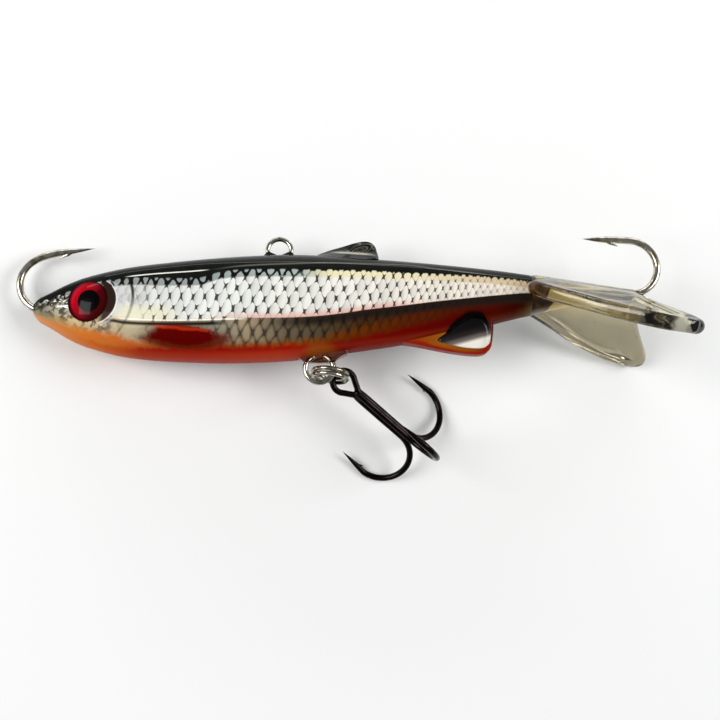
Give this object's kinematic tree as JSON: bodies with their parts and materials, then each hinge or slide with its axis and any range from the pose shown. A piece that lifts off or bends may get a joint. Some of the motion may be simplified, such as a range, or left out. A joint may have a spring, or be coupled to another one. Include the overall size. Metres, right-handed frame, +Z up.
{
  "type": "ice fishing jig",
  "caption": "Small fish moulded in clear plastic over a printed metal core, with a fixed hook at nose and tail, a forked tail, a line tie on the back and a treble below.",
  "frame": {"origin": "on the table top, below the middle of the whole jig as it lies", "axes": "+X from the nose towards the tail, +Y towards the fish's back, +Z up from the table; the fish lies on its right side"},
  "size_m": [0.0886, 0.034, 0.027],
  "materials": {
    "clear_body": "glossy clear plastic over printed foil and lacquer",
    "eye": "glossy clear red dome with a black pupil",
    "bronze_nickel": "polished bronze-toned nickel plate",
    "nickel": "bright nickel plate",
    "black_nickel": "polished black nickel plate"
  },
  "bodies": {
    "root": {"clear_body": "clear_body", "left_eye": "eye", "right_eye": "eye", "nose_hook": "bronze_nickel", "tail_hook": "bronze_nickel", "line_tie": "nickel", "belly_loop": "nickel", "split_ring": "nickel", "treble_hook": "black_nickel"}
  },
  "joints": []
}
